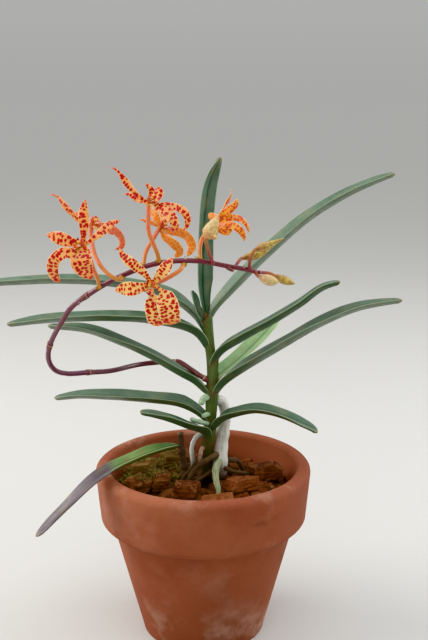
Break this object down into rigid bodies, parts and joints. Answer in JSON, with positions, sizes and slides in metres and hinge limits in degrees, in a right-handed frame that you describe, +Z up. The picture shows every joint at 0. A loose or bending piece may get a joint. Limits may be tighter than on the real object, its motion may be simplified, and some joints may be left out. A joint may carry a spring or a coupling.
{
  "type": "potted renanthera orchid",
  "caption": "Orchid with stiff folded leaves in two ranks and an arching spray of spotted flowers, rooted in bark in a plain clay pot.",
  "frame": {"origin": "middle of the pot's flat underside, on the surface that the pot stands on", "axes": "+Z up along the pot's axis; -Y towards the front, where the flower spray opens; +X to the right of someone who faces the front"},
  "size_m": [0.2043, 0.1579, 0.235],
  "materials": {
    "clay": "matte",
    "bark": "matte",
    "stem": "satin",
    "dried_stem": "matte",
    "leaf": "satin",
    "pale_leaf": "satin",
    "old_leaf": "satin",
    "root": "matte",
    "spike": "satin",
    "stalk": "satin",
    "petal": "satin",
    "lip": "satin",
    "bud": "satin"
  },
  "bodies": {
    "root": {"pot": "clay", "bark_bed": "bark", "bark_chip_1": "bark", "bark_chip_2": "bark", "bark_chip_3": "bark", "bark_chip_4": "bark", "bark_chip_5": "bark", "bark_chip_6": "bark", "bark_chip_7": "bark", "bark_chip_8": "bark", "bark_chip_9": "bark", "stem": "stem", "old_stem": "dried_stem", "leaf_top": "leaf", "leaf_spear": "leaf", "leaf_right_1": "leaf", "leaf_right_2": "leaf", "leaf_right_3": "leaf", "leaf_right_4": "pale_leaf", "leaf_right_5": "leaf", "leaf_left_1": "leaf", "leaf_left_2": "leaf", "leaf_left_3": "leaf", "leaf_left_4": "leaf", "leaf_left_5": "leaf", "leaf_left_6": "old_leaf", "root_thick": "root", "root_left": "root", "root_right": "root", "root_front": "root", "root_cream": "root", "root_tip": "root", "flower_spike": "spike", "flower_a_stalk": "stalk", "flower_a_petals": "petal", "flower_a_lip": "lip", "flower_b_stalk": "stalk", "flower_b_petals": "petal", "flower_b_lip": "lip", "flower_c_stalk": "stalk", "flower_c_petals": "petal", "flower_c_lip": "lip", "flower_d_stalk": "stalk", "flower_d_petals": "petal", "flower_d_lip": "lip", "flower_e_stalk": "stalk", "flower_e_petals": "petal", "flower_e_lip": "lip", "flower_f_stalk": "stalk", "flower_f_petals": "petal", "flower_f_lip": "lip", "bud_1": "bud", "bud_2": "bud", "bud_3": "bud", "bud_4": "bud", "bud_5": "bud"}
  },
  "joints": []
}
